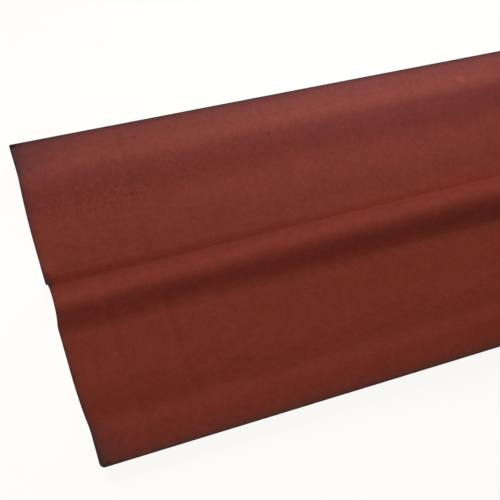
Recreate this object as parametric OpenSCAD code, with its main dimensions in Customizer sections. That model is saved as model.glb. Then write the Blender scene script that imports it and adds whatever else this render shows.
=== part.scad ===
// Ridge tile of bitumen-bonded fibre board: one pressed sheet with a half-round
// bead along the middle, a flat wing on each side of it, and a raised strip along
// each long edge that steps down to the wing over a curved ramp.
//
// The length runs along X and the width along Y, centred on the origin. Z = 0 is
// the level floor that the undersides of the two wings lie on.

/* [Sheet] */
// Length along the ridge
tile_length = 1000; // [300:10:2000]
// Width over the two long edges
tile_width = 485; // [420:1:600]
// Thickness of the pressed board
board = 3; // [2:0.1:4]

/* [Middle bead] */
// Rise of the crest above the wings
bead_rise = 36; // [28:1:46]
// Radius over the crest, on the upper skin
crest_radius = 31; // [20:0.5:33]
// Slope of the two flanks, in degrees
flank_slope = 72; // [45:1:80]
// Radius in the crease at the foot, on the upper skin
crease_radius = 2.5; // [1:0.5:8]

/* [Wings and edge strips] */
// Reach of the flat part of a wing from the centre line
flat_reach = 98; // [70:1:110]
// Slope of the ramp at its steepest, in degrees
ramp_slope = 41; // [35:1:60]
// Rise of the edge strips above the wings
strip_rise = 37; // [20:1:40]
// Radius of the shoulder at the top of the ramp, on the upper skin
shoulder_radius = 25; // [8:1:30]
// Fall of the strips towards the long edges, in degrees
strip_fall = 4.5; // [0:0.5:8]

/* [Corners] */
// Plan radius of the two worn corners, on the -Y edge
worn_corner = 7; // [1:0.5:20]
// Plan radius of the two crisp corners, on the +Y edge
crisp_corner = 2.5; // [1:0.5:20]

/* [Hidden] */

// Largest turn between neighbouring points of an arc, in degrees
turn = 3;
// Board pressed beyond the finished outline on every side, then trimmed off
trim = 4;
// Level above every surface, for the trimming tool
headroom = board + max(bead_rise, strip_rise) + trim;

// Levels of the wings' and the crest's upper skins
wing_top = board;
crest_top = wing_top + bead_rise;
// Radius that carries the ramp from the flat up to the shoulder
ramp_radius = strip_rise / (1 - cos(ramp_slope)) - shoulder_radius;

// Centres of the four arcs, in the section's own [across, up]
crest_centre = [0, crest_top - crest_radius];
flank_drop = bead_rise - (crest_radius + crease_radius) * (1 - cos(flank_slope));
crease_centre = [
    (crest_radius + crease_radius) * sin(flank_slope) + flank_drop / tan(flank_slope),
    wing_top + crease_radius
];
ramp_centre = [flat_reach, wing_top + ramp_radius];
shoulder_centre = ramp_centre
    + (ramp_radius + shoulder_radius) * [sin(ramp_slope), -cos(ramp_slope)];

// Points of an arc from angle a to angle b, both of its ends included
function arc(centre, r, a, b) =
    let (steps = ceil(abs(b - a) / turn))
    [for (i = [0:steps]) centre + r * [cos(a + (b - a) * i / steps), sin(a + (b - a) * i / steps)]];

// Where the strip meets the long edge's untrimmed end, at a depth below the upper skin
function strip_end(depth) =
    let (
        start = shoulder_centre + (shoulder_radius - depth) * [sin(strip_fall), cos(strip_fall)],
        reach = tile_width / 2 + trim - start[0]
    )
    [start[0] + reach, start[1] - reach * tan(strip_fall)];

// One skin from the centre line to the +Y edge: crest, crease, ramp, shoulder and
// strip. The same four centres serve every depth, so the board keeps its thickness.
function skin(depth) = concat(
    arc(crest_centre, crest_radius - depth, 90, 90 - flank_slope),
    arc(crease_centre, crease_radius + depth, 270 - flank_slope, 270),
    arc(ramp_centre, ramp_radius + depth, 270, 270 + ramp_slope),
    arc(shoulder_centre, shoulder_radius - depth, 90 + ramp_slope, 90 - strip_fall),
    [strip_end(depth)]
);

// A skin carried over both sides, from the -Y edge to the +Y edge
function both_sides(points) = concat(
    [for (i = [len(points) - 1:-1:1]) [-points[i][0], points[i][1]]],
    points
);

function reversed(points) = [for (i = [len(points) - 1:-1:0]) points[i]];

// Plan outline of the finished tile, anticlockwise from the -X end of the -Y edge
function plan_outline() =
    let (
        x = tile_length / 2,
        y = tile_width / 2
    )
    concat(
        arc([worn_corner - x, worn_corner - y], worn_corner, 180, 270),
        arc([x - worn_corner, worn_corner - y], worn_corner, 270, 360),
        arc([x - crisp_corner, y - crisp_corner], crisp_corner, 0, 90),
        arc([crisp_corner - x, y - crisp_corner], crisp_corner, 90, 180)
    );

// The board as pressed, before it is trimmed to size
module pressed_board() {
    section = concat(both_sides(skin(0)), reversed(both_sides(skin(board))));
    rotate([90, 0, 90])
        linear_extrude(tile_length + 2 * trim, center = true)
            polygon(section);
}

module ridge_tile() {
    color("#78352d")
        intersection() {
            pressed_board();
            translate([0, 0, -trim])
                linear_extrude(headroom + trim)
                    polygon(plan_outline());
        }
}

ridge_tile();
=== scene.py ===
# %% [markdown]
# # A bitumen ridge tile, from its frame to its finish
#
# A ridge tile of this kind is one sheet of board, felted from fibres, pressed
# into shape, soaked in hot bitumen and sprayed with a red-brown pigment coat on
# its weather side. It has a half-round bead along the middle, a flat wing on
# each side of it, and a raised strip along each long edge.
#
# The exact solid comes from the frame. This script keeps its size and gives it
# what the plain solid lacks: soft cut edges, the slight unevenness of pressed
# board, and the finish of its three kinds of surface.

import math

import bpy
from mathutils import Matrix, Vector


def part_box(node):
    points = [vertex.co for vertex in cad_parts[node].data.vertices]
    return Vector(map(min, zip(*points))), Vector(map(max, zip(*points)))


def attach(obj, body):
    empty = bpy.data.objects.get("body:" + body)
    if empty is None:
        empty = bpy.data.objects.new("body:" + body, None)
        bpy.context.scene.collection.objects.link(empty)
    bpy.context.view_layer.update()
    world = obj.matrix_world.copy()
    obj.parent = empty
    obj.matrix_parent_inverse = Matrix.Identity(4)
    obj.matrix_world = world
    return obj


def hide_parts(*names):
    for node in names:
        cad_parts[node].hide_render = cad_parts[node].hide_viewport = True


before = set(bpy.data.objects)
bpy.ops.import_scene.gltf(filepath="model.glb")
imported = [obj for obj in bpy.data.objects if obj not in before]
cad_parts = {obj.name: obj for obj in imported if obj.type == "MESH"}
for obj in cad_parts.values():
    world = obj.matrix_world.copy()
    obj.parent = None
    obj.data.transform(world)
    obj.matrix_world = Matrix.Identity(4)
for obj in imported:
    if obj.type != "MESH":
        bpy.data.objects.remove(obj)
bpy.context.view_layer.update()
MM = 0.001
TILE = "ridge_tile"
low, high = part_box(TILE)
print("frame:", sorted(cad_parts), "from", tuple(low), "to", tuple(high))


# %% [markdown]
# ## The section
#
# The tile has one section from end to end, so its shape is a chain of four arcs
# on each side of the middle: over the crest, through the crease at the bead's
# foot, up the ramp, and over the shoulder to the edge strip. Straight board
# joins them. Each arc has a centre, and the same centre serves the upper skin,
# the lower skin and the line halfway between them, so the board keeps its
# thickness all the way. The section could be read off the solid's end instead,
# but the arcs give points as close together as the press needs them.

# %% Sizes of the section
LENGTH = high.x - low.x
WIDTH = high.y - low.y
BOARD = 3 * MM
BEAD_RISE = 36 * MM
CREST_RADIUS = 31 * MM
FLANK_SLOPE = math.radians(72)
CREASE_RADIUS = 2.5 * MM
FLAT_REACH = 98 * MM
RAMP_SLOPE = math.radians(41)
STRIP_RISE = 37 * MM
SHOULDER_RADIUS = 25 * MM
STRIP_FALL = math.radians(4.5)
WORN_CORNER = 7 * MM
CRISP_CORNER = 2.5 * MM
CORNER_ZONE = 8 * MM
print("tile %.0f x %.0f x %.0f mm" % (LENGTH / MM, WIDTH / MM, (high.z - low.z) / MM))


# %% Half of the section, as a chain of arcs
LARGEST_TURN = math.radians(12)
SAME_POINT = 0.03 * MM


def arc(centre, radius, start, end, step):
    """Points of an arc from one angle to another, in equal turns of at most step."""
    turns = max(1, math.ceil(abs(end - start) / step))
    angles = [start + (end - start) * i / turns for i in range(turns + 1)]
    return [(centre[0] + radius * math.cos(a), centre[1] + radius * math.sin(a)) for a in angles]


def half_section(depth, spacing):
    """From the crest to the +Y edge, at a depth below the upper skin.

    The points are spacing apart, and a third of that in the corner zone at the edge.
    """
    quarter = math.pi / 2
    crest = (0, BOARD + BEAD_RISE - CREST_RADIUS)
    both = CREST_RADIUS + CREASE_RADIUS
    drop = BEAD_RISE - both * (1 - math.cos(FLANK_SLOPE))
    crease = (both * math.sin(FLANK_SLOPE) + drop / math.tan(FLANK_SLOPE), BOARD + CREASE_RADIUS)
    ramp_radius = STRIP_RISE / (1 - math.cos(RAMP_SLOPE)) - SHOULDER_RADIUS
    ramp = (FLAT_REACH, BOARD + ramp_radius)
    reach = ramp_radius + SHOULDER_RADIUS
    shoulder = (ramp[0] + reach * math.sin(RAMP_SLOPE), ramp[1] - reach * math.cos(RAMP_SLOPE))
    stretches = [
        (crest, CREST_RADIUS - depth, quarter, quarter - FLANK_SLOPE),
        (crease, CREASE_RADIUS + depth, 3 * quarter - FLANK_SLOPE, 3 * quarter),
        (ramp, ramp_radius + depth, 3 * quarter, 3 * quarter + RAMP_SLOPE),
        (shoulder, SHOULDER_RADIUS - depth, quarter + RAMP_SLOPE, quarter - STRIP_FALL),
    ]
    points = []
    for centre, radius, start, end in stretches:
        step = min(LARGEST_TURN, spacing / radius)
        fresh = arc(centre, radius, start, end, step)
        if points and math.dist(points[-1], fresh[0]) < SAME_POINT:
            fresh = fresh[1:]
        elif points:
            points += straight(points[-1], fresh[0], spacing)
        points += fresh
    y, z = points[-1]
    fall = math.tan(STRIP_FALL)
    edge = (WIDTH / 2, z - (WIDTH / 2 - y) * fall)
    inner = (edge[0] - CORNER_ZONE, edge[1] + CORNER_ZONE * fall)
    outer = [inner] + straight(inner, edge, spacing / 3) + [edge]
    return points + straight(points[-1], inner, spacing) + outer


def straight(a, b, spacing):
    """The points between a and b, without either end."""
    count = max(1, math.ceil(math.dist(a, b) / spacing))
    return [tuple(p + (q - p) * i / count for p, q in zip(a, b)) for i in range(1, count)]


def whole_section(depth, spacing):
    """The half and its mirror image, from the -Y edge to the +Y edge."""
    half = half_section(depth, spacing)
    return [(-y, z) for y, z in reversed(half[1:])] + half


print("an arc turns by at most %.0f degrees from point to point" % math.degrees(LARGEST_TURN))

# %% Draw the board's middle line
COLUMN_SPACING = 3.2 * MM
middle = whole_section(BOARD / 2, COLUMN_SPACING)
curve = bpy.data.curves.new("middle_line", "CURVE")
curve.dimensions = "3D"
spline = curve.splines.new("POLY")
spline.points.add(len(middle) - 1)
for point, (y, z) in zip(spline.points, middle):
    point.co = (0, y, z, 1)
girth = sum(math.dist(a, b) for a, b in zip(middle, middle[1:]))
print("middle line: %d points, %.1f mm of board across" % (len(middle), girth / MM))


# %% Compare the chain with the frame
def gap_to_chain(y, z, chain):
    """Distance from a point of the frame's section to the nearest stretch of the chain."""
    best = WIDTH
    for (ay, az), (by, bz) in zip(chain, chain[1:]):
        run = Vector((by - ay, bz - az))
        along = max(0, min(1, Vector((y - ay, z - az)).dot(run) / run.length_squared))
        best = min(best, math.dist((y, z), (ay + run.x * along, az + run.y * along)))
    return best


upper = whole_section(0, COLUMN_SPACING)
lower = whole_section(BOARD, COLUMN_SPACING)
corners = [v.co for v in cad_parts[TILE].data.vertices]
rim = {(round(v.y, 6), round(v.z, 6)) for v in corners if v.x > high.x - MM / 10}
worst = max(min(gap_to_chain(y, z, upper), gap_to_chain(y, z, lower)) for y, z in rim)
print("greatest distance from the frame's section: %.3f mm" % (worst / MM))


# %% [markdown]
# ## Pressing the board
#
# In the works, a flat wet blank is laid between two dies and pressed, and the
# section runs dead straight from end to end. A Geometry Nodes tree can do the
# same: unroll the section to find how much board it takes, lay out a flat grid
# of that width, give it a thickness, and move every point to its place along
# the section. Sweeping a profile along a line would also work, but the flat
# blank keeps each point's place on the unrolled board, and the finish needs
# that later, because coat, stains and cut edges all follow the board.
#
# The dies are worn and the felt is a little uneven, so the skins are not
# perfectly true. All of the unevenness goes into the board, never out of it,
# and the tile keeps its size.

# %% Named inputs of the press
press = bpy.data.node_groups.new("press the tile", "GeometryNodeTree")
press.interface.new_socket("Geometry", in_out="OUTPUT", socket_type="NodeSocketGeometry")
press.interface.new_socket("Middle line", in_out="INPUT", socket_type="NodeSocketGeometry")
PRESS_SIZES = {
    "Length": LENGTH,
    "Width": WIDTH,
    "Board": BOARD,
    "Worn corner": WORN_CORNER,
    "Crisp corner": CRISP_CORNER,
    "Unevenness": 0.22 * MM,
    "Rough cut": 0.35 * MM,
    "Press line": 0.24 * MM,
}
PRESS_COUNTS = {"Rows": 222, "Seed": 11}
for name, value in PRESS_SIZES.items():
    socket = press.interface.new_socket(name, in_out="INPUT", socket_type="NodeSocketFloat")
    socket.default_value = value
for name, value in PRESS_COUNTS.items():
    socket = press.interface.new_socket(name, in_out="INPUT", socket_type="NodeSocketInt")
    socket.default_value = value
for name in ("Coat", "Cut edge", "Underside"):
    press.interface.new_socket(name, in_out="INPUT", socket_type="NodeSocketMaterial")
given = press.nodes.new("NodeGroupInput").outputs
print("press inputs:", [s.name for s in given if s.name])


# %% A helper that adds one node
def add(tree, kind, inputs=None, out=0, **settings):
    """Adds a node, sets its settings, sets or links its inputs, and returns one of its outputs."""
    made = tree.nodes.new(kind)
    for name, value in settings.items():
        setattr(made, name, value)
    for name, value in (inputs or {}).items():
        if isinstance(value, bpy.types.NodeSocket):
            tree.links.new(value, made.inputs[name])
        else:
            made.inputs[name].default_value = value
    return made.outputs[out] if len(made.outputs) else made


print("ready:", add.__doc__)

# %% Unroll the section
# The grid has a column for each point of the middle line. How far that point is along
# the line is the column's place across the flat board.
line_points = add(
    press,
    "GeometryNodeAttributeDomainSize",
    {"Geometry": given["Middle line"]},
    out="Point Count",
    component="CURVE",
)
blank = add(
    press,
    "GeometryNodeMeshGrid",
    {"Size X": 1.0, "Size Y": 1.0, "Vertices X": given["Rows"], "Vertices Y": line_points},
)
on_grid = add(press, "GeometryNodeInputPosition")
unit = add(press, "ShaderNodeSeparateXYZ", {0: on_grid}).node.outputs
last = add(press, "ShaderNodeMath", {0: line_points, 1: 1.0}, operation="SUBTRACT")
share = add(press, "ShaderNodeMath", {0: unit["Y"], 1: 0.5}, operation="ADD")
column = add(press, "ShaderNodeMath", {0: share, 1: last}, operation="MULTIPLY")
reach = add(
    press,
    "GeometryNodeSampleIndex",
    {
        "Geometry": given["Middle line"],
        "Value": add(press, "GeometryNodeSplineParameter", out="Length"),
        "Index": add(press, "ShaderNodeMath", {0: column}, operation="ROUND"),
    },
)
whole = add(press, "GeometryNodeCurveLength", {"Curve": given["Middle line"]})
half_girth = add(press, "ShaderNodeMath", {0: whole, 1: 0.5}, operation="MULTIPLY")
print("the section is unrolled from the middle line")

# %% Lay out the flat blank
# Rows lie close together near the two ends, where the corners are rounded, and open out
# in the middle.
BUNCHING = 0.72
FULL_TURN = 2 * math.pi
phase = add(press, "ShaderNodeMath", {0: unit["X"], 1: FULL_TURN}, operation="MULTIPLY")
swing = add(press, "ShaderNodeMath", {0: phase}, operation="SINE")
bunched = {0: swing, 1: BUNCHING / FULL_TURN, 2: unit["X"]}
row = add(press, "ShaderNodeMath", bunched, operation="MULTIPLY_ADD")
along = add(press, "ShaderNodeMath", {0: row, 1: given["Length"]}, operation="MULTIPLY")
over = add(press, "ShaderNodeMath", {0: reach, 1: half_girth}, operation="SUBTRACT")
flat = add(press, "ShaderNodeCombineXYZ", {0: along, 1: over})
blank = add(press, "GeometryNodeSetPosition", {"Geometry": blank, "Position": flat})
print("flat blank laid out")

# %% Round the four corners
# Past the corner's centre, squares are drawn in to circles, so the grid's own edge
# becomes the arc.
place = add(press, "GeometryNodeInputPosition")
side = add(press, "ShaderNodeVectorMath", {0: place}, operation="SIGN")
from_middle = add(press, "ShaderNodeVectorMath", {0: place}, operation="ABSOLUTE")
half_length = add(press, "ShaderNodeMath", {0: given["Length"], 1: 0.5}, operation="MULTIPLY")
half_size = add(press, "ShaderNodeCombineXYZ", {0: half_length, 1: half_girth})
far = add(press, "ShaderNodeSeparateXYZ", {0: side}, out="Y")
radius = add(
    press,
    "GeometryNodeSwitch",
    {
        "Switch": add(press, "ShaderNodeMath", {0: far, 1: 0.0}, operation="GREATER_THAN"),
        "False": given["Worn corner"],
        "True": given["Crisp corner"],
    },
    input_type="FLOAT",
)
centre = add(press, "ShaderNodeVectorMath", {0: half_size, 1: radius}, operation="SUBTRACT")
past = add(press, "ShaderNodeVectorMath", {0: from_middle, 1: centre}, operation="SUBTRACT")
past = add(press, "ShaderNodeVectorMath", {0: past, 1: (0.0, 0.0, 0.0)}, operation="MAXIMUM")
past_x, past_y = add(press, "ShaderNodeSeparateXYZ", {0: past}).node.outputs[:2]
flat_past = add(press, "ShaderNodeCombineXYZ", {0: past_x, 1: past_y})
farther = add(press, "ShaderNodeMath", {0: past_x, 1: past_y}, operation="MAXIMUM")
diagonal = add(press, "ShaderNodeVectorMath", {0: flat_past}, out="Value", operation="LENGTH")
ratio = add(press, "ShaderNodeMath", {0: farther, 1: diagonal}, operation="DIVIDE")
draw_in = add(press, "ShaderNodeMath", {0: ratio, 1: 1.0}, operation="SUBTRACT")
inward = add(press, "ShaderNodeVectorMath", {0: flat_past, "Scale": draw_in}, operation="SCALE")
shift = add(press, "ShaderNodeVectorMath", {0: inward, 1: side}, operation="MULTIPLY")
blank = add(press, "GeometryNodeSetPosition", {"Geometry": blank, "Offset": shift})
print("corners: %.1f mm worn, %.1f mm crisp" % (WORN_CORNER / MM, CRISP_CORNER / MM))

# %% Let the cut wander a little
# Shears leave felted board with an edge that is never quite true, here with 70 waves to
# the metre. The points only ever move inwards.
CUT_DEPTH = 5 * MM
CUT_WAVES = 70.0
wander = add(
    press,
    "ShaderNodeTexNoise",
    {"Vector": place, "W": given["Seed"], "Scale": CUT_WAVES, "Detail": 3.0, "Roughness": 0.6},
    noise_dimensions="4D",
)
bite = add(press, "ShaderNodeMath", {0: wander, 1: given["Rough cut"]}, operation="MULTIPLY")
bite = add(press, "ShaderNodeMath", {0: bite, 1: -1.0}, operation="MULTIPLY")
margin = add(press, "ShaderNodeVectorMath", {0: half_size, 1: from_middle}, operation="SUBTRACT")
nearness = add(
    press,
    "ShaderNodeMapRange",
    {6: margin, 7: (0.0, 0.0, 0.0), 8: (CUT_DEPTH,) * 3, 9: (1.0, 1.0, 0.0), 10: (0.0, 0.0, 0.0)},
    out="Vector",
    data_type="FLOAT_VECTOR",
)
outward = add(press, "ShaderNodeVectorMath", {0: nearness, 1: side}, operation="MULTIPLY")
shift = add(press, "ShaderNodeVectorMath", {0: outward, "Scale": bite}, operation="SCALE")
blank = add(press, "GeometryNodeSetPosition", {"Geometry": blank, "Offset": shift})
print("cut edges wander by up to %.2f mm" % (PRESS_SIZES["Rough cut"] / MM))

# %% Give the blank its thickness
# The flipped copy is pushed down, which makes the lower skin and the cut walls, and
# then the top is put back.
WELD = MM / 100
half_board = add(press, "ShaderNodeMath", {0: given["Board"], 1: 0.5}, operation="MULTIPLY")
raised = add(press, "ShaderNodeCombineXYZ", {2: half_board})
top = add(press, "GeometryNodeSetPosition", {"Geometry": blank, "Offset": raised})
pushed = add(
    press,
    "GeometryNodeExtrudeMesh",
    {
        "Mesh": add(press, "GeometryNodeFlipFaces", {"Mesh": top}),
        "Offset": (0.0, 0.0, -1.0),
        "Offset Scale": given["Board"],
        "Individual": False,
    },
    mode="FACES",
)
lower_skin, cut_wall = pushed.node.outputs["Top"], pushed.node.outputs["Side"]
joined = press.nodes.new("GeometryNodeJoinGeometry")
press.links.new(pushed, joined.inputs[0])
press.links.new(top, joined.inputs[0])
welded = {"Geometry": joined.outputs[0], "Distance": WELD}
sheet = add(press, "GeometryNodeMergeByDistance", welded)
sheet = add(
    press,
    "GeometryNodeStoreNamedAttribute",
    {"Geometry": sheet, "Name": "board", "Value": place},
    data_type="FLOAT_VECTOR",
    domain="POINT",
)
print("the flat place of each point is kept as the attribute 'board', in metres")

# %% Faint lines across the sheet
# The felt was carried wet on a wire, and two shallow lines run across it near one end,
# a ridge and a drop. Each pair is a distance from the -X end in millimetres, and how
# far the weather side lies below its full height there as a share of the press line's
# depth.
PRESS_LINES = [
    (0, 0.5),
    (60, 0.5),
    (66, 0.0),
    (72, 0.0),
    (79, 0.5),
    (152, 0.5),
    (161, 1.0),
    (300, 0.5),
]


def bend(mapping, points):
    """Bends a straight curve through points. The last one's distance is the whole length."""
    length = points[-1][0]
    first, last = mapping.curves[0].points
    first.location = (points[0][0] / length, points[0][1])
    last.location = (1.0, points[-1][1])
    for where, value in points[1:-1]:
        mapping.curves[0].points.new(where / length, value)
    mapping.update()


part = add(press, "ShaderNodeSeparateXYZ", {0: place}).node.outputs
from_end = add(press, "ShaderNodeMath", {0: part["X"], 1: half_length}, operation="ADD")
lines_reach = {0: from_end, 1: PRESS_LINES[-1][0] * MM}
from_end = add(press, "ShaderNodeMath", lines_reach, operation="DIVIDE", use_clamp=True)
lines = add(press, "ShaderNodeFloatCurve", {"Value": from_end})
bend(lines.node.mapping, PRESS_LINES)
print("cross lines: %d points of relief" % len(PRESS_LINES))

# %% Press it to the section
# Each point finds its place along the middle line and stands off it by its height in
# the board. The skins rise and sink 24 times to the metre.
LENGTHWISE = (1.0, 0.0, 0.0)
RIPPLES = 24.0
skin = add(press, "ShaderNodeMath", {0: part["Z"]}, operation="SIGN")
is_top = add(press, "ShaderNodeMath", {0: skin, 1: 0.0}, operation="MAXIMUM")
line_depth = add(press, "ShaderNodeMath", {0: lines, 1: given["Press line"]}, operation="MULTIPLY")
line_depth = add(press, "ShaderNodeMath", {0: line_depth, 1: is_top}, operation="MULTIPLY")
ripple = add(
    press,
    "ShaderNodeTexNoise",
    {"Vector": place, "W": given["Seed"], "Scale": RIPPLES, "Detail": 3.0, "Roughness": 0.55},
    noise_dimensions="4D",
)
uneven = {0: ripple, 1: given["Unevenness"], 2: line_depth}
sunk = add(press, "ShaderNodeMath", uneven, operation="MULTIPLY_ADD")
sunk = add(press, "ShaderNodeMath", {0: sunk, 1: skin}, operation="MULTIPLY")
height = add(press, "ShaderNodeMath", {0: part["Z"], 1: sunk}, operation="SUBTRACT")
line = add(
    press,
    "GeometryNodeSampleCurve",
    {
        "Curves": given["Middle line"],
        "Length": add(press, "ShaderNodeMath", {0: part["Y"], 1: half_girth}, operation="ADD"),
    },
    mode="LENGTH",
    use_all_curves=True,
).node.outputs
crossed = {0: LENGTHWISE, 1: line["Tangent"]}
square = add(press, "ShaderNodeVectorMath", crossed, operation="CROSS_PRODUCT")
stood_off = add(press, "ShaderNodeVectorMath", {0: square, "Scale": height}, operation="SCALE")
lengthwise = add(press, "ShaderNodeCombineXYZ", {0: part["X"]})
pressed = add(press, "ShaderNodeVectorMath", {0: line["Position"], 1: stood_off}, operation="ADD")
pressed = add(press, "ShaderNodeVectorMath", {0: pressed, 1: lengthwise}, operation="ADD")
half_width = add(press, "ShaderNodeMath", {0: given["Width"], 1: 0.5}, operation="MULTIPLY")
limit = add(press, "ShaderNodeCombineXYZ", {0: 1.0, 1: half_width, 2: 1.0})
opposite = add(press, "ShaderNodeVectorMath", {0: limit, "Scale": -1.0}, operation="SCALE")
pressed = add(press, "ShaderNodeVectorMath", {0: pressed, 1: limit}, operation="MINIMUM")
pressed = add(press, "ShaderNodeVectorMath", {0: pressed, 1: opposite}, operation="MAXIMUM")
sheet = add(press, "GeometryNodeSetPosition", {"Geometry": sheet, "Position": pressed})
print("pressed, and trimmed to its width")

# %% Finish the tree
sheet = add(press, "GeometryNodeSetShadeSmooth", {"Geometry": sheet, "Shade Smooth": True})
sheet = add(press, "GeometryNodeRealizeInstances", {"Geometry": sheet})
for name, chosen in (("Coat", True), ("Cut edge", cut_wall), ("Underside", lower_skin)):
    finish = {"Geometry": sheet, "Selection": chosen, "Material": given[name]}
    sheet = add(press, "GeometryNodeSetMaterial", finish)
press.links.new(sheet, press.nodes.new("NodeGroupOutput").inputs[0])
print("press tree: %d nodes" % len(press.nodes))


# %% [markdown]
# ## What the tile is made of
#
# Three surfaces show. The weather side is bitumen-soaked felt board under a
# sprayed red-brown pigment coat. The cut edges are the bare board, nearly
# black. The underside is the same board with no coat, printed by the mesh it
# was formed on. One material for each says what it is and how it was made.
#
# A pattern could be painted by the tile's place in space, but then it would
# smear on the steep flanks of the bead. These patterns read the place on the
# flat board instead, so they run round every bend as the real ones do.

# %% Colours from sRGB
def srgb(code):
    """A colour as a six-figure sRGB code, turned to the linear values that the shaders work in."""
    parts = [int(code[i : i + 2], 16) / 255 for i in (0, 2, 4)]
    linear = [c / 12.92 if c <= 0.04045 else ((c + 0.055) / 1.055) ** 2.4 for c in parts]
    return (*linear, 1.0)


def new_surface(name, gloss, chalkiness):
    """A material for the board, with its gloss set. Returns it, its node tree and its shader."""
    made = bpy.data.materials.new(name)
    made.use_nodes = True
    shader = made.node_tree.nodes["Principled BSDF"]
    shader.inputs["Specular IOR Level"].default_value = gloss
    shader.inputs["Diffuse Roughness"].default_value = chalkiness
    return made, made.node_tree, shader


print("red-brown in linear light:", [round(c, 3) for c in srgb("6e291c")[:3]])


# %% Where a point lies on the flat board
# Numbers are short names for a node's inputs. A Map Range takes a value at 0, the
# stretch it covers at 1 and 2, and what that becomes at 3 and 4. A Mix of colours takes
# a share at 0 and the colours at 6 and 7.
GIRTH = girth / MM
REACH = LENGTH / MM
SKIN = BOARD / MM / 2
SMOOTH = {"interpolation_type": "SMOOTHSTEP"}
MIXED = {"out": 2, "data_type": "RGBA"}
NOISE_LOW = 0.3
NOISE_HIGH = 0.7


def on_board(tree):
    """The place on the flat board, in millimetres."""
    flat = add(tree, "ShaderNodeAttribute", attribute_name="board", out="Vector")
    return add(tree, "ShaderNodeVectorMath", {0: flat, "Scale": 1 / MM}, operation="SCALE")


def patches(tree, place, size, least, most, detail=1.0):
    """Soft uneven patches about size millimetres across, from a least value to a most."""
    noise = add(tree, "ShaderNodeTexNoise", {"Vector": place, "Scale": 1 / size, "Detail": detail})
    levels = {0: noise, 1: NOISE_LOW, 2: NOISE_HIGH, 3: least, 4: most}
    return add(tree, "ShaderNodeMapRange", levels, **SMOOTH)


def fading(tree, margin, strength, length):
    """Strength at a cut edge, and less by a factor of e for each length in millimetres inwards."""
    power = add(tree, "ShaderNodeMath", {0: margin, 1: -1 / length}, operation="MULTIPLY")
    fade = add(tree, "ShaderNodeMath", {0: power}, operation="EXPONENT")
    return add(tree, "ShaderNodeMath", {0: fade, 1: strength}, operation="MULTIPLY")


print("flat board %.1f x %.1f mm" % (REACH, GIRTH))

# %% [markdown]
# ### Pigment coat on bitumen board, sprayed
#
# Iron-oxide pigment in a thin binder, sprayed on warm board. It dries dead
# matt and takes up the felt's fine grain. The eye sees a deep red-brown. Light
# and shade are painted into it as well: a painted highlight over the crest and
# both shoulders, painted shade down the steep flanks and the ramps, and painted
# shade in the two creases at the bead's foot. The +Y side is paler and pinker,
# partly dust and partly painted sheen, and its ramp is speckled towards the -X
# end. Small dark specks are bitumen that came through, and the two lines pressed
# across the sheet carry a painted highlight on one side and painted shade on the
# other. A dark rim at each cut edge is where the coat is chipped off, and the
# coat grows darker towards the cut edges, on the strips further in from the
# ends.
#
# The bands of colour could be painted one over another. A single row of colours
# across the flat board says the same with less, and shows at a glance which part
# of the section has which. The rest is then laid over it in turn: painted shade
# in the creases, grain, specks, marks, speckles, painted light and shade at the
# pressed lines, dust with painted sheen, darkening at the edges, and chips.

# %% Sprayed pigment: ground colour with painted light and shade across the board
# Each row is a distance across the flat board from its middle, in millimetres, and the
# colour there. Besides the coat's own red-brown, the row holds painted shade down the
# bead's flanks, in the +Y crease and on both ramps, a painted highlight on the crest
# and the shoulders, and painted sheen that makes the +Y side paler and pinker.
COAT_LIGHT_AND_SHADE_ACROSS = [
    (-271, "6b2b1f"),
    (-236, "712c21"),
    (-221, "742e22"),
    (-204, "6a281a"),
    (-170, "6d291a"),
    (-134, "712c1e"),
    (-90, "702b1d"),
    (-71, "722e22"),
    (-58, "743023"),
    (-48, "733024"),
    (-36, "6f2d24"),
    (-24, "662920"),
    (-13, "6c2b20"),
    (-3, "773126"),
    (9, "712c21"),
    (19, "67281c"),
    (29, "541a0f"),
    (44, "5f1e12"),
    (56, "742b1e"),
    (66, "7a3225"),
    (90, "712f23"),
    (145, "723027"),
    (176, "6b2e25"),
    (196, "70322c"),
    (217, "783830"),
    (240, "73362e"),
    (271, "6f352f"),
]
COAT_NAME = "pigment_coat_on_bitumen_board_sprayed"
coat, tree, shader = new_surface(COAT_NAME, gloss=0.06, chalkiness=1.0)
place = on_board(tree)
parts = add(tree, "ShaderNodeSeparateXYZ", {0: place}).node.outputs
across = add(tree, "ShaderNodeMapRange", {0: parts["Y"], 1: -GIRTH / 2, 2: GIRTH / 2})
print("coat: %d colours across %.0f mm" % (len(COAT_LIGHT_AND_SHADE_ACROSS), GIRTH))

# %% Sprayed pigment: the painted highlight on the crest wanders
# The painted highlight over the crest, with the painted shade beside it, lies a few
# millimetres to the -Y side at one end and to the +Y side farther along.
WANDER = 4.5
WANDER_ALONG = (-440, 190)
CREST_BAND = (18, 36)
off_crest = add(tree, "ShaderNodeMath", {0: parts["Y"]}, operation="ABSOLUTE")
most = {0: off_crest, 1: CREST_BAND[0], 2: CREST_BAND[1], 3: WANDER / GIRTH, 4: 0.0}
most = add(tree, "ShaderNodeMapRange", most, **SMOOTH)
wander = {0: parts["X"], 1: WANDER_ALONG[0], 2: WANDER_ALONG[1], 3: 1.0, 4: -1.0}
wander = add(tree, "ShaderNodeMapRange", wander)
across = add(tree, "ShaderNodeMath", {0: wander, 1: most, 2: across}, operation="MULTIPLY_ADD")
colour = add(tree, "ShaderNodeValToRGB", {0: across})
ramp = colour.node.color_ramp
ramp.interpolation = "CARDINAL"
between = [ramp.elements.new(0.5) for _ in COAT_LIGHT_AND_SHADE_ACROSS[2:]]
stops = [ramp.elements[0]] + between + [ramp.elements[-1]]
for (where, code), stop in zip(COAT_LIGHT_AND_SHADE_ACROSS, stops):
    stop.position = max(0.0, min(1.0, where / GIRTH + 0.5))
for stop, (where, code) in zip(ramp.elements, COAT_LIGHT_AND_SHADE_ACROSS):
    stop.color = srgb(code)
print("colours sit at", [round(stop.position, 3) for stop in ramp.elements])
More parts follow.
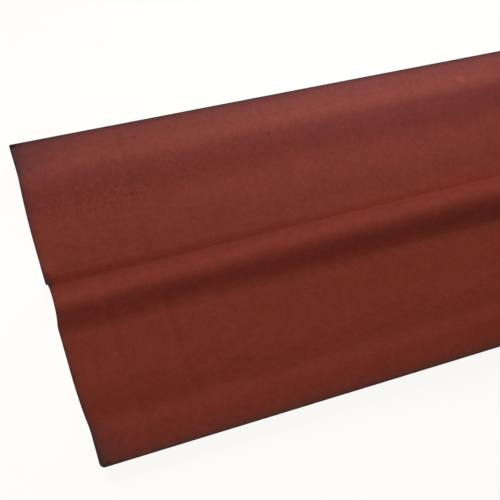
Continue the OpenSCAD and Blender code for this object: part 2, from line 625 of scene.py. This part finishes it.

# %% Sprayed pigment: painted shade in the creases
# Painted shade darkens both creases at the bead's foot, deepest towards the -X end.
# On the -Y side it reaches a little out on the wing.
CREASE_SHADE = "4e0c04"
SHADE_PLACE_NEAR = 62
SHADE_PLACE_FAR = 54
SHADE_BAND = (2, 14)
SHADE_ALONG = (-450, 150)
DEEPEST_SHADE = 0.28
on_far_side = add(tree, "ShaderNodeMath", {0: parts["Y"], 1: 0.0}, operation="GREATER_THAN")
shade_place = {0: on_far_side, 3: SHADE_PLACE_NEAR, 4: SHADE_PLACE_FAR}
shade_place = add(tree, "ShaderNodeMapRange", shade_place)
off_crease = add(tree, "ShaderNodeMath", {0: off_crest, 1: shade_place}, operation="SUBTRACT")
off_crease = add(tree, "ShaderNodeMath", {0: off_crease}, operation="ABSOLUTE")
shaded_crease = {0: off_crease, 1: SHADE_BAND[0], 2: SHADE_BAND[1], 3: 1.0, 4: 0.0}
shaded_crease = add(tree, "ShaderNodeMapRange", shaded_crease, **SMOOTH)
heavy = {0: parts["X"], 1: SHADE_ALONG[0], 2: SHADE_ALONG[1], 3: DEEPEST_SHADE, 4: 0.0}
heavy = add(tree, "ShaderNodeMapRange", heavy)
shaded_crease = add(tree, "ShaderNodeMath", {0: shaded_crease, 1: heavy}, operation="MULTIPLY")
colour = add(tree, "ShaderNodeMix", {0: shaded_crease, 6: colour, 7: srgb(CREASE_SHADE)}, **MIXED)
print("soil at %d and %d mm from the middle" % (SHADE_PLACE_NEAR, SHADE_PLACE_FAR))

# %% Sprayed pigment: felt grain
# The felt's fibres clump at several sizes. Each row is a size in millimetres, and how
# far it lightens or darkens the coat.
FELT_GRAIN = [
    (60.0, 0.025),
    (25.0, 0.015),
    (12.0, 0.035),
    (6.0, 0.035),
    (2.5, 0.042),
    (1.1, 0.032),
]
for size, strength in FELT_GRAIN:
    clumps = patches(tree, place, size, 1 - strength, 1 + strength)
    colour = add(tree, "ShaderNodeVectorMath", {0: colour, "Scale": clumps}, operation="SCALE")
print("felt grain:", FELT_GRAIN)

# %% Sprayed pigment: bitumen specks
# Each row is a spacing, the speck's radius, the share of places that have one, and how
# dark it is. A speck or mark is solid to 0.4 of its radius and gone at 1.6 of it.
SOLID = 0.4
GONE = 1.6
SPECKS = [(17.0, 1.6, 0.35, 0.12), (6.0, 0.7, 0.35, 0.16)]
for spacing, radius, share, dark in SPECKS:
    cells = add(tree, "ShaderNodeTexVoronoi", {"Vector": place, "Scale": 1 / spacing}).node.outputs
    pick = add(tree, "ShaderNodeSeparateColor", {0: cells["Color"]})
    present = add(tree, "ShaderNodeMath", {0: pick, 1: share}, operation="LESS_THAN")
    reach = radius / spacing
    inside = {0: cells["Distance"], 1: SOLID * reach, 2: GONE * reach, 3: -dark, 4: 0.0}
    inside = add(tree, "ShaderNodeMapRange", inside, **SMOOTH)
    light = add(tree, "ShaderNodeMath", {0: inside, 1: present, 2: 1.0}, operation="MULTIPLY_ADD")
    colour = add(tree, "ShaderNodeVectorMath", {0: colour, "Scale": light}, operation="SCALE")
print("specks at %d sizes" % len(SPECKS))

# %% Sprayed pigment: marks
# Each row is a place along and across the flat board, a radius, and how much darker
# (or, below 0, paler) the mark is. Their outlines are ragged by about 1 mm.
MARKS = [
    (-113, 206, 3.2, 0.24),
    (-343, 158, 2.6, 0.24),
    (-263, 166, 2.8, 0.26),
    (-305, -180, 2.6, 0.16),
    (-257, -176, 3.6, 0.22),
    (140, -112, 2.6, -0.14),
    (245, 232, 8.0, -0.24),
    # The last four rows are painted shade in the +Y crease and on the flank above it, at the -X
    # end.
    (-498, 64, 7.0, 0.45),
    (-497, 48, 9.0, 0.5),
    (-497, 33, 9.0, 0.62),
    (-498, 20, 6.0, 0.4),
]
RAGGED_SIZE = 4.0
RAGGED = (2.4, 2.4, 0.0)
wobble = add(tree, "ShaderNodeTexNoise", {"Vector": place, "Scale": 1 / RAGGED_SIZE}, out="Color")
ragged = add(tree, "ShaderNodeVectorMath", {0: wobble, 1: (0.5, 0.5, 0.5)}, operation="SUBTRACT")
ragged = {0: ragged, 1: RAGGED, 2: place}
ragged = add(tree, "ShaderNodeVectorMath", ragged, operation="MULTIPLY_ADD")
for along, aside, radius, dark in MARKS:
    spot = (along, aside, SKIN)
    off = {0: ragged, 1: spot}
    off = add(tree, "ShaderNodeVectorMath", off, out="Value", operation="DISTANCE")
    light = {0: off, 1: SOLID * radius, 2: GONE * radius, 3: 1 - dark, 4: 1.0}
    light = add(tree, "ShaderNodeMapRange", light, **SMOOTH)
    colour = add(tree, "ShaderNodeVectorMath", {0: colour, "Scale": light}, operation="SCALE")
print("%d marks" % len(MARKS))

# %% Sprayed pigment: a speckled place
# The ramp on the +Y side is speckled towards the -X end. The speckles are about 4 mm
# across.
SPECKLED_PLACE = (-395, 165, 0)
SPECKLED_REACH = (190, 48, 1000)
SPECKLED_HEART = 0.2
SPECKLE_SIZE = 4
SPECKLE_TONES = (-0.45, 0.75)
SPECKLE_DARK = 0.17
off = add(tree, "ShaderNodeVectorMath", {0: place, 1: SPECKLED_PLACE}, operation="SUBTRACT")
off = add(tree, "ShaderNodeVectorMath", {0: off, 1: SPECKLED_REACH}, operation="DIVIDE")
off = add(tree, "ShaderNodeVectorMath", {0: off}, out="Value", operation="LENGTH")
near = {0: off, 1: SPECKLED_HEART, 2: 1.0, 3: -SPECKLE_DARK, 4: 0.0}
near = add(tree, "ShaderNodeMapRange", near, **SMOOTH)
speckles = patches(tree, place, SPECKLE_SIZE, *SPECKLE_TONES, 2.0)
light = add(tree, "ShaderNodeMath", {0: near, 1: speckles, 2: 1.0}, operation="MULTIPLY_ADD")
colour = add(tree, "ShaderNodeVectorMath", {0: colour, "Scale": light}, operation="SCALE")
print("speckles round", SPECKLED_PLACE[:2])

# %% Sprayed pigment: lines across
# The two pressed lines near the -X end get a painted highlight on one side and painted
# shade on the other, most clearly on the -Y wing. Each pair is a distance from that
# end in millimetres and a tone, where 0.5 is the coat's own.
TONE_LINES = [
    (0, 0.5),
    (54, 0.5),
    (64, 0.8),
    (70, 0.5),
    (76, 0.1),
    (84, 0.5),
    (138, 0.5),
    (147, 0.75),
    (153, 0.5),
    (160, 0.1),
    (168, 0.5),
    (300, 0.5),
]
TONE_DEPTH = 0.26
TONE_ELSEWHERE = 0.104
NEAR_WING = -85
WING_BAND = (30, 50)
TONE_PATCH = 40
TONE_STRENGTHS = (0.3, 1.4)
from_end = add(tree, "ShaderNodeMath", {0: parts["X"], 1: REACH / 2}, operation="ADD")
tones_reach = {0: from_end, 1: TONE_LINES[-1][0]}
from_end = add(tree, "ShaderNodeMath", tones_reach, operation="DIVIDE", use_clamp=True)
tones = add(tree, "ShaderNodeFloatCurve", {"Value": from_end})
bend(tones.node.mapping, TONE_LINES)
tones = add(tree, "ShaderNodeMath", {0: tones, 1: 0.5}, operation="SUBTRACT")
off_wing = add(tree, "ShaderNodeMath", {0: parts["Y"], 1: NEAR_WING}, operation="SUBTRACT")
off_wing = add(tree, "ShaderNodeMath", {0: off_wing}, operation="ABSOLUTE")
depth = {0: off_wing, 1: WING_BAND[0], 2: WING_BAND[1], 3: TONE_DEPTH, 4: TONE_ELSEWHERE}
depth = add(tree, "ShaderNodeMapRange", depth, **SMOOTH)
# These patches vary how strong the painted highlight and shade are from place to place.
worn = patches(tree, place, TONE_PATCH, *TONE_STRENGTHS)
worn = add(tree, "ShaderNodeMath", {0: depth, 1: worn}, operation="MULTIPLY")
light = add(tree, "ShaderNodeMath", {0: tones, 1: worn, 2: 1.0}, operation="MULTIPLY_ADD")
colour = add(tree, "ShaderNodeVectorMath", {0: colour, "Scale": light}, operation="SCALE")
print("%d tones along %d mm" % (len(TONE_LINES), TONE_LINES[-1][0]))

# %% Sprayed pigment: dust and painted sheen on the far side
# A pinkish film, partly dust and partly painted sheen, grows along the +Y ramp and
# strip towards the +X end.
DUST_AND_SHEEN = "96556a"
DUST_AND_SHEEN_SHARE = 0.035
DUST_AND_SHEEN_ACROSS = (110, 160)
DUST_AND_SHEEN_ALONG = (-280, 20)
dust_and_sheen_side = {0: parts["Y"], 1: DUST_AND_SHEEN_ACROSS[0], 2: DUST_AND_SHEEN_ACROSS[1]}
dust_and_sheen_side = add(tree, "ShaderNodeMapRange", dust_and_sheen_side, **SMOOTH)
film = {0: parts["X"], 1: DUST_AND_SHEEN_ALONG[0], 2: DUST_AND_SHEEN_ALONG[1], 3: 0.0, 4: DUST_AND_SHEEN_SHARE}
film = add(tree, "ShaderNodeMapRange", film)
film = add(tree, "ShaderNodeMath", {0: film, 1: dust_and_sheen_side}, operation="MULTIPLY")
colour = add(tree, "ShaderNodeMix", {0: film, 6: colour, 7: srgb(DUST_AND_SHEEN)}, **MIXED)
print("dust film up to %.1f %%" % (100 * DUST_AND_SHEEN_SHARE))

# %% Sprayed pigment: dark rims
# The coat grows darker towards the cut edges, more on the raised parts, and on the
# strips further in from the ends. Each rim is a strength at its edge and a length in
# millimetres that it fades over. The end rim's two strengths are on the bead and off
# it. Where the others have two, they are for the -Y side and the +Y side.
DARK_NEAR = "302b27"
DARK_FAR = "2f272a"
STRIP_IN = (46, 60)
RAMP_IN = (130, 160)
BEAD_FOOT = (40, 60)
END_RIM = (0.38, 0.65, 5.0)
RAISED_RIM = (0.25, 8.0)
LONG_RIM = (0.8, 0.95, 6.3)
STRIP_END_RIM = (0.28, 0.47, 38.0)
SIDES_MEET = (-100, 100)
DARK_PATCH = 8
DARK_UNEVEN = (0.9, 1.1)
far_side = {0: parts["Y"], 1: SIDES_MEET[0], 2: SIDES_MEET[1]}
far_side = add(tree, "ShaderNodeMapRange", far_side, **SMOOTH)
from_middle = add(tree, "ShaderNodeVectorMath", {0: place}, operation="ABSOLUTE")
halves = (REACH / 2, GIRTH / 2, 0.0)
margin = add(tree, "ShaderNodeVectorMath", {0: halves, 1: from_middle}, operation="SUBTRACT")
ends, long_edges = add(tree, "ShaderNodeSeparateXYZ", {0: margin}).node.outputs[:2]
strip = {0: long_edges, 1: STRIP_IN[0], 2: STRIP_IN[1], 3: 1.0, 4: 0.0}
strip = add(tree, "ShaderNodeMapRange", strip, **SMOOTH)
ramps = {0: long_edges, 1: RAMP_IN[0], 2: RAMP_IN[1], 3: 1.0, 4: 0.0}
ramps = add(tree, "ShaderNodeMapRange", ramps, **SMOOTH)
raised = add(tree, "ShaderNodeMath", {0: strip, 1: ramps}, operation="ADD")
off_bead = {0: off_crest, 1: BEAD_FOOT[0], 2: BEAD_FOOT[1], 3: END_RIM[0], 4: END_RIM[1]}
off_bead = add(tree, "ShaderNodeMapRange", off_bead, **SMOOTH)
end_rim = fading(tree, ends, off_bead, END_RIM[2])
raised_rim = fading(tree, ends, *RAISED_RIM)
raised_rim = add(tree, "ShaderNodeMath", {0: raised_rim, 1: raised}, operation="MULTIPLY")
long_strength = add(tree, "ShaderNodeMapRange", {0: far_side, 3: LONG_RIM[0], 4: LONG_RIM[1]})
long_rim = fading(tree, long_edges, long_strength, LONG_RIM[2])
strip_end_strength = add(tree, "ShaderNodeMapRange", {0: far_side, 3: STRIP_END_RIM[0], 4: STRIP_END_RIM[1]})
strip_end_rim = fading(tree, ends, strip_end_strength, STRIP_END_RIM[2])
strip_end_rim = add(tree, "ShaderNodeMath", {0: strip_end_rim, 1: strip}, operation="MULTIPLY")
undarkened = 1.0
for darkened in (end_rim, raised_rim, long_rim, strip_end_rim):
    left = add(tree, "ShaderNodeMath", {0: 1.0, 1: darkened}, operation="SUBTRACT")
    undarkened = add(tree, "ShaderNodeMath", {0: left, 1: undarkened}, operation="MULTIPLY")
darkening = add(tree, "ShaderNodeMath", {0: 1.0, 1: undarkened}, operation="SUBTRACT")
uneven = patches(tree, place, DARK_PATCH, *DARK_UNEVEN)
darkening = add(tree, "ShaderNodeMath", {0: darkening, 1: uneven}, operation="MULTIPLY")
darkening_colour = {0: far_side, 6: srgb(DARK_NEAR), 7: srgb(DARK_FAR)}
darkening_colour = add(tree, "ShaderNodeMix", darkening_colour, **MIXED)
colour = add(tree, "ShaderNodeMix", {0: darkening, 6: colour, 7: darkening_colour}, **MIXED)
print("rims in place")

# %% Sprayed pigment: chips along the cut
# Shearing cracks the coat off in a ragged band, up to 2 mm wide and wider at the
# corners, and the dark board shows. Each size is in millimetres, with how far it moves
# the band's edge.
CHIPPED = "1b1110"
CHIP_DEPTH = 0.85
CHIP_BAND = (0.6, 1.4)
CHIP_SIZES = [(9.0, 0.8), (3.0, 0.55)]
CORNER_SPREAD = 10
corner = add(tree, "ShaderNodeMath", {0: ends, 1: long_edges}, operation="ADD")
corner = add(tree, "ShaderNodeMath", {0: corner, 1: CORNER_SPREAD}, operation="DIVIDE")
cut = add(tree, "ShaderNodeMath", {0: ends, 1: long_edges}, operation="MINIMUM")
cut = add(tree, "ShaderNodeMath", {0: cut, 1: corner}, operation="MINIMUM")
for size, most in CHIP_SIZES:
    ragged = patches(tree, place, size, -most, most)
    cut = add(tree, "ShaderNodeMath", {0: cut, 1: ragged}, operation="ADD")
chips = {0: cut, 1: CHIP_BAND[0], 2: CHIP_BAND[1], 3: CHIP_DEPTH, 4: 0.0}
chips = add(tree, "ShaderNodeMapRange", chips, **SMOOTH)
colour = add(tree, "ShaderNodeMix", {0: chips, 6: colour, 7: srgb(CHIPPED)}, **MIXED)
print("chips to", CHIPPED)

# %% Sprayed pigment: finish
# The felt's own texture, 1.4 mm and finer, catches the light. An orange peel of about 8
# mm lies under it.
FELT_SIZE = 1.4
FELT_RELIEF = 0.12 * MM
PEEL_SIZE = 8.0
PEEL_RELIEF = 0.2 * MM
SHEEN_PATCH = 15
COAT_ROUGHNESS = (0.62, 0.78)
tree.links.new(colour, shader.inputs["Base Color"])
felt = patches(tree, place, FELT_SIZE, 0.0, 1.0, 3.0)
peel = patches(tree, place, PEEL_SIZE, 0.0, 1.0)
felt_bump = {"Strength": 0.5, "Distance": FELT_RELIEF, "Height": felt}
felt_bump = add(tree, "ShaderNodeBump", felt_bump)
bump = {"Strength": 0.5, "Distance": PEEL_RELIEF, "Height": peel, "Normal": felt_bump}
bump = add(tree, "ShaderNodeBump", bump)
tree.links.new(bump, shader.inputs["Normal"])
sheen = patches(tree, place, SHEEN_PATCH, *COAT_ROUGHNESS)
tree.links.new(sheen, shader.inputs["Roughness"])
print("coat: %d nodes" % len(tree.nodes))

# %% [markdown]
# ### The bare board
#
# The cut edge and the underside are the same bitumen-soaked felt with no coat.
# Shears leave the plies standing as fine lines along the cut, dusted with torn
# fibres. The underside carries the print of the wire mesh that the wet felt was
# formed on, with shining patches where the bitumen lies thick. Plies and mesh
# could be modelled, but that would take millions of faces on sides that are
# seldom seen, so the bump of each material draws them.

# %% Bitumen felt core, sheared
# The plies are about 0.5 mm thick, and their torn fibres are drawn 3 mm long, which is
# several times too coarse.
FELT_DARK = "1d1412"
FELT_PALE = "3b2a26"
FIBRE_LENGTH = 3.0
FIBRES_IN_PLY = (1.0, 1.0, 6.0)
PLY_RELIEF = 0.15 * MM
TORN_PATCH = 9
TORN_TONES = (0.75, 1.1)
DULL_PATCH = 5
CORE_ROUGHNESS = (0.7, 0.9)
core, tree, shader = new_surface("bitumen_felt_core_sheared", gloss=0.1, chalkiness=0.5)
place = on_board(tree)
stretched = add(tree, "ShaderNodeVectorMath", {0: place, 1: FIBRES_IN_PLY}, operation="MULTIPLY")
plies = patches(tree, stretched, FIBRE_LENGTH, 0.0, 1.0, 2.0)
colour = add(tree, "ShaderNodeMix", {0: plies, 6: srgb(FELT_DARK), 7: srgb(FELT_PALE)}, **MIXED)
torn = patches(tree, place, TORN_PATCH, *TORN_TONES)
colour = add(tree, "ShaderNodeVectorMath", {0: colour, "Scale": torn}, operation="SCALE")
tree.links.new(colour, shader.inputs["Base Color"])
bump = add(tree, "ShaderNodeBump", {"Strength": 0.6, "Distance": PLY_RELIEF, "Height": plies})
tree.links.new(bump, shader.inputs["Normal"])
dull = patches(tree, place, DULL_PATCH, *CORE_ROUGHNESS)
tree.links.new(dull, shader.inputs["Roughness"])
print("core: %d nodes" % len(tree.nodes))

# %% Bare bitumen board, formed on a mesh
# The wire is really about 1 mm apart. It is drawn 4 mm apart, as coarse as it needs to
# be to show.
MESH_PITCH = 4.0
MESH_RELIEF = 0.25 * MM
FIBRE_SIZE = 5.0
FIBRES_ALONG = (1.0, 3.0, 1.0)
FIBRE_RELIEF = 0.2 * MM
PRINT_TONES = (0.85, 1.1)
BITUMEN_PATCH = 45
BITUMEN_SHARE = 0.7
BARE_ROUGHNESS = (0.7, 0.42)
BARE_DARK = "231a18"
BARE_BROWN = "382a25"
under, tree, shader = new_surface("bare_bitumen_board_mesh_formed", gloss=0.25, chalkiness=0.5)
place = on_board(tree)
turns = {0: place, "Scale": FULL_TURN / MESH_PITCH}
turns = add(tree, "ShaderNodeVectorMath", turns, operation="SCALE")
waves = add(tree, "ShaderNodeVectorMath", {0: turns}, operation="SINE")
wave_x, wave_y = add(tree, "ShaderNodeSeparateXYZ", {0: waves}).node.outputs[:2]
print_of_mesh = add(tree, "ShaderNodeMath", {0: wave_x, 1: wave_y}, operation="MULTIPLY")
print_of_mesh = add(tree, "ShaderNodeMapRange", {0: print_of_mesh, 1: -1.0, 2: 1.0}, **SMOOTH)
drawn_out = add(tree, "ShaderNodeVectorMath", {0: place, 1: FIBRES_ALONG}, operation="MULTIPLY")
fibres = patches(tree, drawn_out, FIBRE_SIZE, 0.0, 1.0, 3.0)
heavy = patches(tree, place, BITUMEN_PATCH, 0.0, 1.0, 3.0)
colour = add(tree, "ShaderNodeMix", {0: fibres, 6: srgb(BARE_DARK), 7: srgb(BARE_BROWN)}, **MIXED)
darker = add(tree, "ShaderNodeMapRange", {0: heavy, 3: 0.0, 4: BITUMEN_SHARE}, **SMOOTH)
colour = add(tree, "ShaderNodeMix", {0: darker, 6: colour, 7: srgb(BARE_DARK)}, **MIXED)
raised = {0: print_of_mesh, 3: PRINT_TONES[0], 4: PRINT_TONES[1]}
raised = add(tree, "ShaderNodeMapRange", raised, **SMOOTH)
colour = add(tree, "ShaderNodeVectorMath", {0: colour, "Scale": raised}, operation="SCALE")
tree.links.new(colour, shader.inputs["Base Color"])
printed = {"Strength": 0.6, "Distance": MESH_RELIEF, "Height": print_of_mesh}
printed = add(tree, "ShaderNodeBump", printed)
fibrous = {"Strength": 0.4, "Distance": FIBRE_RELIEF, "Height": fibres, "Normal": printed}
fibrous = add(tree, "ShaderNodeBump", fibrous)
tree.links.new(fibrous, shader.inputs["Normal"])
shine = {0: heavy, 3: BARE_ROUGHNESS[0], 4: BARE_ROUGHNESS[1]}
shine = add(tree, "ShaderNodeMapRange", shine, **SMOOTH)
tree.links.new(shine, shader.inputs["Roughness"])
print("underside: %d nodes" % len(tree.nodes))


# %% [markdown]
# ## Make the piece
#
# The press runs as a modifier on the middle line. Its result is turned into a
# plain mesh, the sharp cut arrises are eased with a small bevel, and the piece
# then stands in for the plain solid. The arrises could be rounded on the flat
# blank, but a bevel finds them by their angle after the pressing.

# %% Run the press
pattern = bpy.data.objects.new("middle_line", curve)
bpy.context.scene.collection.objects.link(pattern)
run = pattern.modifiers.new("press", "NODES")
run.node_group = press
sockets = {s.name: s.identifier for s in press.interface.items_tree if s.in_out == "INPUT"}
for name, value in {**PRESS_SIZES, **PRESS_COUNTS}.items():
    run[sockets[name]] = value
for name, value in (("Coat", coat), ("Cut edge", core), ("Underside", under)):
    run[sockets[name]] = value
bpy.context.view_layer.update()
graph = bpy.context.evaluated_depsgraph_get()
board = bpy.data.meshes.new_from_object(pattern.evaluated_get(graph))
pattern.modifiers.remove(run)
bpy.data.objects.remove(pattern)
while board.materials[0] is None:
    board.materials.pop(index=0)
surfaces = [m.name for m in board.materials]
faces = [sum(f.material_index == i for f in board.polygons) for i in range(len(surfaces))]
print("pressed board: %d points, faces %s" % (len(board.vertices), dict(zip(surfaces, faces))))

# %% Ease the cut arrises
ARRIS = 0.45 * MM
SHARP = math.radians(60)
tile = bpy.data.objects.new("tile", board)
bpy.context.scene.collection.objects.link(tile)
ease = tile.modifiers.new("ease", "BEVEL")
ease.width = ARRIS
ease.segments = 3
ease.limit_method = "ANGLE"
ease.angle_limit = SHARP
ease.harden_normals = True
ease.use_clamp_overlap = True
ease.material = surfaces.index(core.name)
bpy.context.view_layer.update()
graph = bpy.context.evaluated_depsgraph_get()
eased = bpy.data.meshes.new_from_object(tile.evaluated_get(graph))
tile.modifiers.remove(ease)
tile.data = eased
bpy.data.meshes.remove(board)
eased.name = "ridge_tile_board"
tile.name = "ridge_tile_board"
print("eased board: %d triangles" % sum(len(f.vertices) - 2 for f in eased.polygons))

# %% Let the piece stand for the plain solid
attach(tile, "root")
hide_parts(TILE)
print("materials on the piece:", [m.name for m in eased.materials])


# %% [markdown]
# ## Floor, light and camera
#
# The tile lies on a pale floor. Four soft lamps light it at a plain level, with
# a little even light from all round, so that each colour comes out about as it
# was written. One broad lamp would be simpler, but it would leave one flank of
# the bead too dark and the strips too flat. The white of the floor and of the
# surround is for the camera and for reflections only, so it throws no light on
# the tile.

# %% A white surround
def white_to_the_eye(tree):
    """1 for the camera's own rays and for what mirrors and glass show, else 0."""
    ray = add(tree, "ShaderNodeLightPath").node.outputs
    seen = {0: ray["Is Camera Ray"], 1: ray["Is Glossy Ray"]}
    seen = add(tree, "ShaderNodeMath", seen, operation="MAXIMUM")
    seen = {0: seen, 1: ray["Is Transmission Ray"]}
    return add(tree, "ShaderNodeMath", seen, operation="MAXIMUM")


SURROUND = "fffdfa"
EVEN_LIGHT = 0.05
world = bpy.data.worlds.new("even_light")
bpy.context.scene.world = world
world.use_nodes = True
tree = world.node_tree
lit = tree.nodes["Background"]
lit.inputs["Strength"].default_value = EVEN_LIGHT
backdrop = add(tree, "ShaderNodeBackground", {"Color": srgb(SURROUND), "Strength": 1.0})
either = {0: white_to_the_eye(tree), 1: lit.outputs[0], 2: backdrop}
either = add(tree, "ShaderNodeMixShader", either)
tree.links.new(either, tree.nodes["World Output"].inputs[0])
print("surround", SURROUND)

# %% The floor
# To the camera the floor is nearly all its own white, and a share of real light keeps
# the tile's shadow in it. The share fades out away from the tile, so the floor meets
# the surround without a line. The floor lies a hair below the tile, so the two never
# flicker where they touch.
FLOOR_SIZE = 12.0
FLOOR_DROP = 0.05 * MM
FLOOR_COLOUR = "f0efec"
SHADOW_SHARE = 0.07
SHADOW_REACH = (0.6, 1.5)
half = FLOOR_SIZE / 2
floor_mesh = bpy.data.meshes.new("floor")
floor_corners = [(-half, -half, 0), (half, -half, 0), (half, half, 0), (-half, half, 0)]
floor_mesh.from_pydata(floor_corners, [], [(0, 1, 2, 3)])
floor = bpy.data.objects.new("floor", floor_mesh)
bpy.context.scene.collection.objects.link(floor)
floor.location.z = -FLOOR_DROP
paper = bpy.data.materials.new("pale_studio_floor")
paper.use_nodes = True
tree = paper.node_tree
matt = tree.nodes["Principled BSDF"]
matt.inputs["Base Color"].default_value = srgb(FLOOR_COLOUR)
matt.inputs["Specular IOR Level"].default_value = 0.0
glow = add(tree, "ShaderNodeEmission", {"Color": srgb(SURROUND), "Strength": 1.0})
spot = add(tree, "ShaderNodeTexCoord", out="Object")
far_off = add(tree, "ShaderNodeVectorMath", {0: spot}, out="Value", operation="LENGTH")
white = {0: far_off, 1: SHADOW_REACH[0], 2: SHADOW_REACH[1], 3: 1 - SHADOW_SHARE, 4: 1.0}
white = add(tree, "ShaderNodeMapRange", white, **SMOOTH)
share = add(tree, "ShaderNodeMath", {0: white_to_the_eye(tree), 1: white}, operation="MULTIPLY")
floor_mix = add(tree, "ShaderNodeMixShader", {0: share, 1: matt.outputs[0], 2: glow})
tree.links.new(floor_mix, tree.nodes["Material Output"].inputs[0])
floor_mesh.materials.append(paper)
print("floor laid")

# %% The lamps
# A low box over the +Y strip and a round lamp over the -X end do most of the work. A
# small one over the bead lifts its crest, and a wide one far off on the near side fills
# the shadows. Each row is a shape, a place, a size, how far along the tile's middle the
# lamp is aimed, and watts.
LAMPS = {
    "box_over_far_strip": ("RECTANGLE", (0.2, 0.42, 0.45), (0.8, 0.3), 0.2, 4.29),
    "round_over_end": ("DISK", (-0.7, 0.3, 0.85), (0.6, 0.6), -0.15, 6.81),
    "round_over_bead": ("DISK", (-0.3, 0.1, 0.9), (0.5, 0.5), -0.15, 1.61),
    "fill_from_near_side": ("DISK", (-1.72, -1.57, 0.9), (0.9, 0.9), -0.15, 27.4),
}
for name, (shape, spot, size, aim, watts) in LAMPS.items():
    lamp = bpy.data.lights.new(name, "AREA")
    lamp.shape = shape
    lamp.size, lamp.size_y = size
    lamp.energy = watts
    stand = bpy.data.objects.new(name, lamp)
    stand.location = spot
    stand.visible_camera = False
    back = (stand.location - Vector((aim, 0, 0))).normalized()
    side = (Vector((1, 0, 0)) - back * back.x).normalized()
    stand.rotation_euler = Matrix((side, back.cross(side), back)).transposed().to_euler()
    bpy.context.scene.collection.objects.link(stand)
print("lamps:", {name: row[-1] for name, row in LAMPS.items()})

# %% The camera
EYE = Vector((-0.63849, -0.43609, 1.28530))
LOOK_AT = Vector((-0.19528, 0.01105, 0.0))
ROLL = math.radians(27.91)
LENS = 68.6
camera_data = bpy.data.cameras.new("camera")
camera_data.lens = LENS
camera_data.sensor_width = 36
camera = bpy.data.objects.new("camera", camera_data)
bpy.context.scene.collection.objects.link(camera)
sight = (LOOK_AT - EYE).normalized()
level = sight.cross(Vector((0, 0, 1))).normalized()
upright = level.cross(sight)
right = level * math.cos(ROLL) + upright * math.sin(ROLL)
up = upright * math.cos(ROLL) - level * math.sin(ROLL)
turn = Matrix((right, up, -sight)).transposed()
camera.matrix_world = Matrix.Translation(EYE) @ turn.to_4x4()
bpy.context.scene.camera = camera
bpy.context.scene.view_settings.view_transform = "Standard"
print("camera at", [round(v, 3) for v in EYE])
